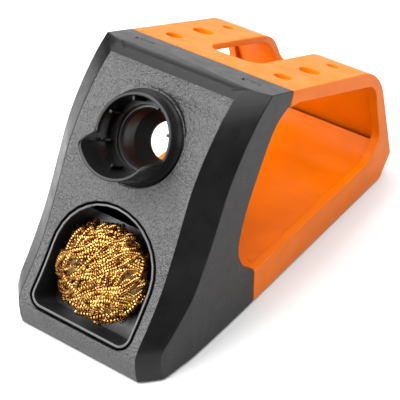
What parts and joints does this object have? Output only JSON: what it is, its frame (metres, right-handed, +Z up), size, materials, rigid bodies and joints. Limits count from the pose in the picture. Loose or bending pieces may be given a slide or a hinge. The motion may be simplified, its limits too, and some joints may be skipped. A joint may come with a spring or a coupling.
{
  "type": "soldering iron stand",
  "caption": "Free-standing soldering iron holder with a funnel collar, a pull-out tray of brass wool for cleaning tips and an open frame with spare-tip holes.",
  "frame": {"origin": "on the ground, below the middle of the stand's length and width", "axes": "+Z up, +Y from the face to the rear, +X to the right seen from the front"},
  "size_m": [0.08, 0.18, 0.0999],
  "materials": {
    "black_plastic": "spark-eroded moulded texture on the face, smooth satin on the edges and sides",
    "inner_black": "satin moulded",
    "tray_black": "satin moulded",
    "orange_plastic": "fine satin moulded",
    "brass_wool": "bright curled ribbon",
    "zinc_steel": "zinc plated",
    "rubber": "matt"
  },
  "bodies": {
    "stand": {"front_cover": "black_plastic", "bayonet_ring": "inner_black", "rear_frame": "orange_plastic", "base_liner": "orange_plastic", "ballast_plate": "zinc_steel", "foot_front_left": "rubber", "foot_front_right": "rubber", "foot_rear_left": "rubber", "foot_rear_right": "rubber", "cover_screw_1": "zinc_steel", "cover_screw_2": "zinc_steel", "base_screw_1": "zinc_steel", "base_screw_2": "zinc_steel", "base_screw_3": "zinc_steel", "base_screw_4": "zinc_steel", "ring_screw_1": "zinc_steel", "ring_screw_2": "zinc_steel", "ring_screw_3": "zinc_steel"},
    "collar": {"holder_collar": "black_plastic", "iron_sleeve": "inner_black"},
    "tray": {"wool_tray": "tray_black", "brass_wool": "brass_wool"}
  },
  "joints": [
    {"name": "collar_turn", "type": "hinge", "parent": "stand", "child": "collar", "pos_m": [0, -0.05038, 0.08373], "axis": [0, -0.8348, 0.5505], "range_deg": [0, 45]},
    {"name": "tray_slide", "type": "slide", "parent": "stand", "child": "tray", "axis": [0, -0.8059, 0.592], "range_m": [0, 0.03]}
  ]
}
